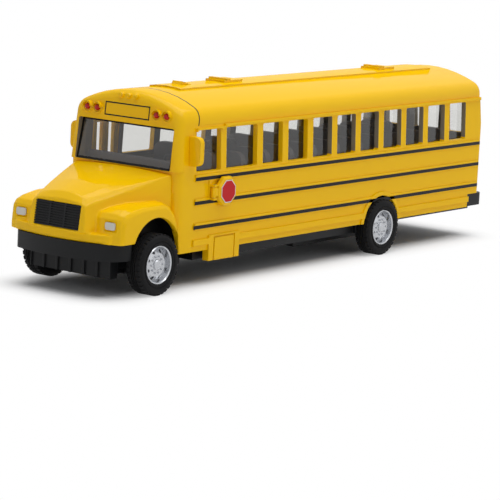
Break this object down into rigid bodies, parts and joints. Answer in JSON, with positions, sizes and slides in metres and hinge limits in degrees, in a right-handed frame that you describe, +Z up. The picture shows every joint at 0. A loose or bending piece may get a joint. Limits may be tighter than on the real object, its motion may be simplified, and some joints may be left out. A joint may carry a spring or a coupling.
{
  "type": "toy bus",
  "caption": "Die-cast style toy bus with a bonnet, glazed cabin with seats, pull-back motor, rolling wheels, swing-out octagonal stop plate and a two-leaf folding door",
  "frame": {"origin": "on the ground under the middle of the bus's bounding box", "axes": "+X to the front of the bus, +Y to the driver's side (its left), +Z up"},
  "size_m": [0.216, 0.0538, 0.0635],
  "materials": {
    "body_paint": "glossy yellow enamel over zinc die-casting",
    "chassis_plastic": "moulded black plastic, satin",
    "seat_plastic": "moulded dark grey plastic",
    "clear_plastic": "clear moulded polystyrene glazing",
    "red_lamp": "glossy red",
    "clear_lamp": "pale silver-white lens paint",
    "plated_hub": "bright plated plastic",
    "tyre_rubber": "soft black rubber",
    "steel": "bright steel",
    "motor_plastic": "moulded black plastic",
    "gear_plastic": "natural acetal"
  },
  "bodies": {
    "body": {"coach_body": "body_paint", "roof_panel": "body_paint", "hood": "body_paint", "left_mirror": "body_paint", "right_mirror": "body_paint", "chassis": "chassis_plastic", "front_bumper": "chassis_plastic", "rear_bumper": "chassis_plastic", "grille": "chassis_plastic", "seat_tray": "seat_plastic", "dashboard": "seat_plastic", "steering_wheel": "seat_plastic", "windscreen": "clear_plastic", "left_windows": "clear_plastic", "right_windows": "clear_plastic", "rear_window": "clear_plastic", "header_lamps": "red_lamp", "tail_lamps": "red_lamp", "headlamps": "clear_lamp", "screws": "steel", "motor_shafts": "steel", "stop_arm_pin": "steel", "motor_case_left": "motor_plastic", "motor_case_right": "motor_plastic"},
    "front_wheels": {"front_axle": "steel", "front_left_hub": "plated_hub", "front_right_hub": "plated_hub", "front_left_tyre": "tyre_rubber", "front_right_tyre": "tyre_rubber"},
    "rear_wheels": {"rear_axle": "steel", "rear_left_hub": "plated_hub", "rear_right_hub": "plated_hub", "rear_left_tyre": "tyre_rubber", "rear_right_tyre": "tyre_rubber", "axle_gear": "gear_plastic"},
    "idler": {"idler_gear": "gear_plastic"},
    "barrel": {"spring_barrel": "gear_plastic", "mainspring": "steel"},
    "stop_arm": {"stop_arm": "body_paint"},
    "front_door": {"front_door_leaf": "body_paint", "front_door_glass": "clear_plastic"},
    "rear_door": {"rear_door_leaf": "body_paint", "rear_door_glass": "clear_plastic"}
  },
  "joints": [
    {"name": "front_axle_spin", "type": "hinge", "parent": "body", "child": "front_wheels", "pos_m": [0.0855, 0, 0.00985], "axis": [0, 1, 0], "continuous": true},
    {"name": "rear_axle_spin", "type": "hinge", "parent": "body", "child": "rear_wheels", "pos_m": [-0.0394, 0, 0.00985], "axis": [0, 1, 0], "continuous": true},
    {"name": "idler_spin", "type": "hinge", "parent": "body", "child": "idler", "pos_m": [-0.03136, 0, 0.0126], "axis": [0, 1, 0], "continuous": true},
    {"name": "barrel_spin", "type": "hinge", "parent": "body", "child": "barrel", "pos_m": [-0.02236, 0, 0.0129], "axis": [0, 1, 0], "continuous": true},
    {"name": "stop_arm_swing", "type": "hinge", "parent": "body", "child": "stop_arm", "pos_m": [0.0589, 0.02405, 0.03055], "axis": [0, 0, -1], "range_deg": [0, 90]},
    {"name": "front_door_swing", "type": "hinge", "parent": "body", "child": "front_door", "pos_m": [0.06605, -0.0215, 0.032], "axis": [0, 0, 1], "range_deg": [0, 80]},
    {"name": "rear_door_swing", "type": "hinge", "parent": "body", "child": "rear_door", "pos_m": [0.05435, -0.0215, 0.032], "axis": [0, 0, -1], "range_deg": [0, 80]}
  ],
  "couplings": [
    {"joint": "idler_spin", "follows": "rear_axle_spin", "ratio": -0.41667},
    {"joint": "barrel_spin", "follows": "rear_axle_spin", "ratio": 0.16026}
  ]
}
